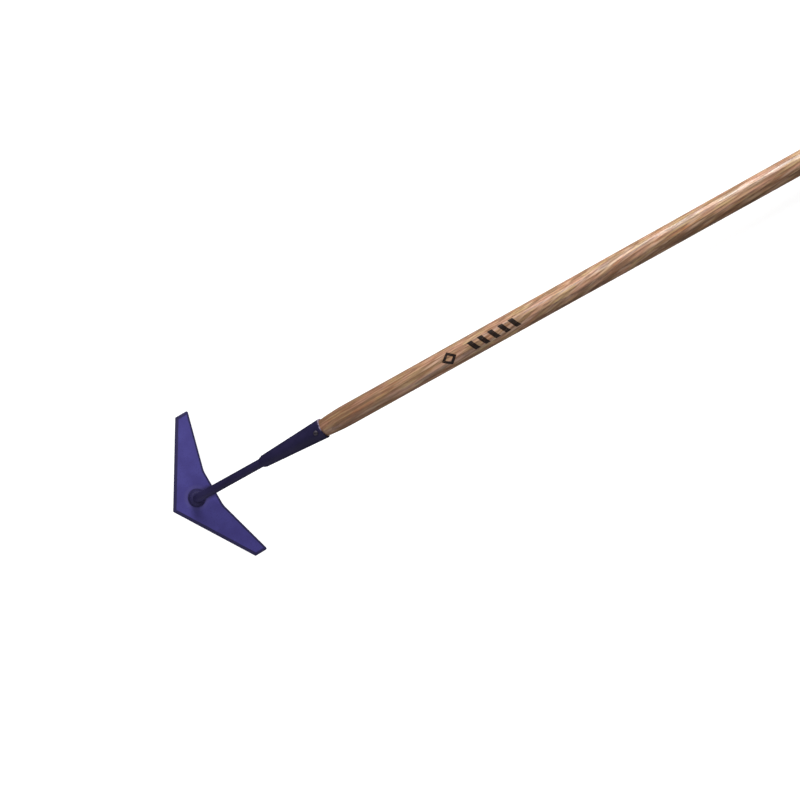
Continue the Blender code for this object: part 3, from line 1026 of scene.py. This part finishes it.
bend_turn = pi / 2 - handle_angle
bend_reach = NECK_BEND * tan(bend_turn / 2)
bend_height = NECK_CORNER_HEIGHT - bend_reach
deselect_all()
bpy.ops.mesh.primitive_circle_add(
    vertices=64, radius=NECK_RADIUS, fill_type="NGON", location=(NECK_PLACE, 0, -SUNK),
)
neck = bpy.context.object
neck.name = "bent_neck"
start_edit(neck)
bpy.ops.mesh.select_mode(type="FACE")
pick_all()
extrude((0, 0, bend_height + SUNK))
former = (NECK_PLACE + NECK_BEND, 0, bend_height)
bpy.ops.mesh.spin(steps=BEND_STEPS, angle=-bend_turn, center=former, axis=(0, 1, 0))
run = (NECK_END - bend_reach) / NECK_RUNS
way = (run * cos(handle_angle), 0, run * sin(handle_angle))
for _ in range(NECK_RUNS):
    extrude(way)
bpy.ops.mesh.bevel(offset=NECK_CHAMFER, segments=3, affect="EDGES")
tidy_mesh()
end_edit()
shade(neck)
seat(neck, tool_frame)
finish_piece(neck, "neck", "dark_navy_paint")

# %% [markdown]
# ## The welds
#
# A weld bead is a row of small overlapping pools, laid one after another round the joint, so it
# looks like a stack of coins on its side. The bead starts as a turned ring with a full, rounded
# face. Then each of its columns is drawn in a little or left as it is, six columns to a pool,
# and not quite as far in every pool. At last the bead's middle is turned ahead of both its
# edges, by up to 2.2 columns, which bends the ripples into crescents.

# %% Helper for a weld bead
WELD_FULLNESS = 1.3
WELD_BASE = 0.1
POOL_COLUMNS = 6
POOL_SHAPE = (0.0, 0.5, 0.85, 1.0, 0.9, 0.6)
CRESCENT_LEAD = 2.2
IN_COLUMN = 0.99995


def weld_bead(name, inner, outer, height, pools, depth):
    """A bead round Z that stands on Z = 0, inner at its joint and outer at its toe."""
    face = [
        (inner + (outer - inner) * sin(turn), height * cos(turn) ** WELD_FULLNESS)
        for turn in QUARTER_TURN
    ]
    section = [(inner, height), *face[1:-1], (outer, 0), (outer, -WELD_BASE), (inner, -WELD_BASE)]
    section.append(section[0])
    columns = pools * POOL_COLUMNS
    piece = turn_profile(name, section, columns)
    for column in range(columns):
        angle = 2 * pi * column / columns
        way = Vector((cos(angle), sin(angle)))
        swell = POOL_SHAPE[column % POOL_COLUMNS]
        uneven = 0.8 + 0.2 * sin(column // POOL_COLUMNS * 2.4)
        drawn_in = 1 - depth * (1 - swell) * uneven
        pick(
            piece, "VERT",
            lambda corner: corner.co.z > -WELD_BASE / 2
            and corner.co.xy.normalized().dot(way) > IN_COLUMN
            and corner.co.xy.length > inner + 0.01,
        )
        bpy.ops.transform.resize(value=(drawn_in, drawn_in, 1), center_override=(0, 0, 0))
    for turn, (_, ring_height) in list(zip(QUARTER_TURN, face))[1:-1]:
        ahead = -CRESCENT_LEAD * 2 * pi / columns * sin(2 * turn)
        pick(piece, "VERT", lambda corner: abs(corner.co.z - ring_height) < SAME_PLACE)
        turn_picked(ahead)
    tidy_mesh()
    return piece


print("columns to a pool:", POOL_COLUMNS)

# %% [markdown]
# The foot weld joins the bar to the plate. Its inner face reaches just inside the bar and its
# base just into the plate, so that no gap shows: on the real tool all three are one.

# %% Foot weld
FOOT_WELD_WIDTH = 5.5
FOOT_WELD_HEIGHT = 5.5
FOOT_WELD_POOLS = 22

foot_weld = weld_bead(
    "foot_weld_bead", NECK_RADIUS - SUNK, NECK_RADIUS + FOOT_WELD_WIDTH,
    FOOT_WELD_HEIGHT, FOOT_WELD_POOLS, 0.05,
)
end_edit()
shade(foot_weld)
seat(foot_weld, tool_frame @ Matrix.Translation((NECK_PLACE * MM, 0, 0)))
finish_piece(foot_weld, "foot_weld", "dark_navy_paint")

# %% [markdown]
# The second bead closes the step between the socket's small end and the bar. It hangs from the
# socket's end face, so it is the same bead turned over.

# %% Socket weld
SOCKET_WELD_WIDTH = 1.6
SOCKET_WELD_LENGTH = 4.3
SOCKET_WELD_POOLS = 18

socket_weld = weld_bead(
    "socket_weld_bead", NECK_RADIUS - SUNK, SOCKET_BORE_SMALL + SOCKET_WELD_WIDTH,
    SOCKET_WELD_LENGTH, SOCKET_WELD_POOLS, 0.04,
)
pick_all()
turn_picked(pi, "X")
end_edit()
shade(socket_weld)
seat(socket_weld, shaft_frame @ Matrix.Translation((0, 0, SOCKET_START * MM)))
finish_piece(socket_weld, "socket_weld", "dark_navy_paint")

# %% [markdown]
# ## The screw
#
# A round-head wood screw is turned from wire: a low dome with a thin rim, a shank and a point.
# The cross in its head is pressed in and narrows as it goes down. A block whose lower end is
# drawn in makes one pair of the punch's arms, and a second block lies across it.

# %% Screw
SCREW_HEAD_RADIUS = 3.3
SCREW_HEAD_HEIGHT = 2.4
SCREW_HEAD_RIM = 0.4
RIM_BREAK = 0.08
SCREW_POINT = 5
PUNCH_SIZE = (3.6, 0.75, 2.2)
PUNCH_MIDDLE = (0, 0, 2.3)
PUNCH_FOOT = (0, 0, 1.2)
PUNCH_FOOT_SHARE = (0.45, 0.75, 1)

dome_height = SCREW_HEAD_HEIGHT - SCREW_HEAD_RIM
section = []
for turn in QUARTER_TURN:
    section.append((SCREW_HEAD_RADIUS * sin(turn), SCREW_HEAD_RIM + dome_height * cos(turn)))
section += [(SCREW_HEAD_RADIUS, RIM_BREAK), (SCREW_HEAD_RADIUS - RIM_BREAK, 0), (SCREW_SHANK, 0)]
section += [(SCREW_SHANK, SCREW_POINT - SCREW_LENGTH), (0, -SCREW_LENGTH)]
screw = turn_profile("fixing_screw_head_and_shank", section, 64)
end_edit()
for quarter in (0, pi / 2):
    deselect_all()
    bpy.ops.mesh.primitive_cube_add(size=1, location=PUNCH_MIDDLE)
    punch = bpy.context.object
    start_edit(punch)
    pick_all()
    bpy.ops.transform.resize(value=PUNCH_SIZE, center_override=PUNCH_MIDDLE)
    pick(punch, "FACE", lambda face: face.normal.z < -0.9)
    bpy.ops.transform.resize(value=PUNCH_FOOT_SHARE, center_override=PUNCH_FOOT)
    pick_all()
    turn_picked(quarter)
    end_edit()
    cut_away(screw, punch)
screw_seat = Matrix.Translation((-SCREW_SEAT * MM, 0, SCREW_PLACE * MM))
shade(screw)
seat(screw, shaft_frame @ screw_seat @ Matrix.Rotation(-pi / 2, 4, "Y"))
finish_piece(screw, "fixing_screw", "screw_steel")

# %% [markdown]
# ## The blade
#
# The blade is cut from 3 mm plate and then ground along its front edges. The outline of one half
# has only five corners, two of them on the middle line, so it is drawn for one wing, filled,
# mirrored and made one face. Its corners are rounded while it is still flat, because points are
# easier to round than the edges of a solid. The rear corners of the tips get a larger radius
# than the bevel that follows on them, or that bevel's inner line would cross itself.

# %% Blade: the flat outline
POINT_ROUND = 1.7
TIP_ROUND = 1.2
REAR_TIP_ROUND = 2.1
WING_BEND = 30

outline = [Vector((0, 0)), wing_tip, rear_tip, wing_start, Vector((MIDDLE_DEPTH, 0))]
points = [(corner.x, corner.y, 0) for corner in outline]
blade = draw_line("path_blade", [*points, points[0]])
bpy.ops.mesh.edge_face_add()
end_edit()
apply_modifier(blade, "MIRROR", use_axis=(False, True, False), merge_threshold=0.01)
start_edit(blade)
pick(blade, "EDGE", lambda edge: all(abs(corner.co.y) < 0.01 for corner in edge.verts))
bpy.ops.mesh.dissolve_edges(use_verts=False)


def round_corner(place, before, after, radius, segments):
    """Round the flat outline's corners at a place, on both wings."""
    half = (before - place).angle(after - place) / 2
    pick(
        blade, "VERT",
        lambda corner: Vector((corner.co.x - place.x, abs(corner.co.y) - place.y)).length < 0.01,
    )
    bpy.ops.mesh.bevel(offset=radius / tan(half), segments=segments, affect="VERTICES")


round_corner(outline[0], Vector((wing_tip.x, -wing_tip.y)), outline[1], POINT_ROUND, 8)
round_corner(outline[1], outline[0], outline[2], TIP_ROUND, 8)
round_corner(outline[2], outline[1], outline[3], REAR_TIP_ROUND, 12)
round_corner(outline[3], outline[2], outline[4], WING_BEND, 12)
print("corners round the blade:", len(bmesh.from_edit_mesh(blade.data).verts))

# %% [markdown]
# The plate's thickness is one extrusion. The grinding is two cuts with a plane that leans back
# from the front edge, one for each wing: each cut takes off what stands above its plane and
# fills the hole, and the two meet in a clean mitre at the point. The cut edges at the rear and
# the tips are broken by a plain bevel.

# %% Blade: thickness and grinding
BEVEL_DROP = 1.5
REAR_BREAK = 1.4

pick_all()
extrude((0, 0, -BLADE_THICKNESS))
tidy_mesh()
lean = BEVEL_DROP / FRONT_BEVEL
for wing_side in (1, -1):
    pick_all()
    bpy.ops.mesh.bisect(
        plane_co=(wing_tip.x, wing_side * wing_tip.y, -BEVEL_DROP),
        plane_no=(-lean * front_inward.x, -lean * front_inward.y * wing_side, 1),
        use_fill=True, clear_outer=True, clear_inner=False,
    )


def on_rear_top(edge):
    """Whether an edge lies on the upper face, away from the ground front."""
    middle = (edge.verts[0].co + edge.verts[1].co) / 2
    flat = all(abs(corner.co.z) < 0.01 for corner in edge.verts)
    place = Vector((middle.x, abs(middle.y)))
    return flat and (place - wing_tip).dot(front_inward) > FRONT_BEVEL + 0.1


rear_edges = pick(blade, "EDGE", on_rear_top)
bpy.ops.mesh.bevel(offset=REAR_BREAK, segments=1, affect="EDGES")
tidy_mesh()
end_edit()
print("edges broken at the rear and the tips:", rear_edges)

# %% [markdown]
# Paint softens every edge of a real blade. A last small bevel on all edges over 15 degrees gives
# that, and catches the light. The two large faces have many corners and hollow
# outlines, so they are cut into triangles here, while the piece is still large and level, where
# that can be worked out exactly. The shading is done before and kept, because thin triangles
# would give their corners false weights.

# %% Blade: soft edges and seating
PAINT_ROUND = 0.3

apply_modifier(
    blade, "BEVEL", width=PAINT_ROUND, segments=3, limit_method="ANGLE", angle_limit=radians(15),
)
shade(blade)
apply_modifier(blade, "TRIANGULATE", min_vertices=5, keep_custom_normals=True)
seat(blade, tool_frame)
finish_piece(blade, "blade", "violet_blue_paint")

# %% [markdown]
# ## The size, and the end
#
# Both boxes are printed: the solid model's and that of the made pieces. The made pieces
# have to stay in the solid model's box.

# %% The two boxes
bpy.context.view_layer.update()
made_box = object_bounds()
sizes = {
    "cad": [list(corner) for corner in cad_box],
    "visual": [list(corner) for corner in made_box],
}
for name, (low, high) in sizes.items():
    print(name, "box:", [round(value, 5) for value in low], [round(value, 5) for value in high])
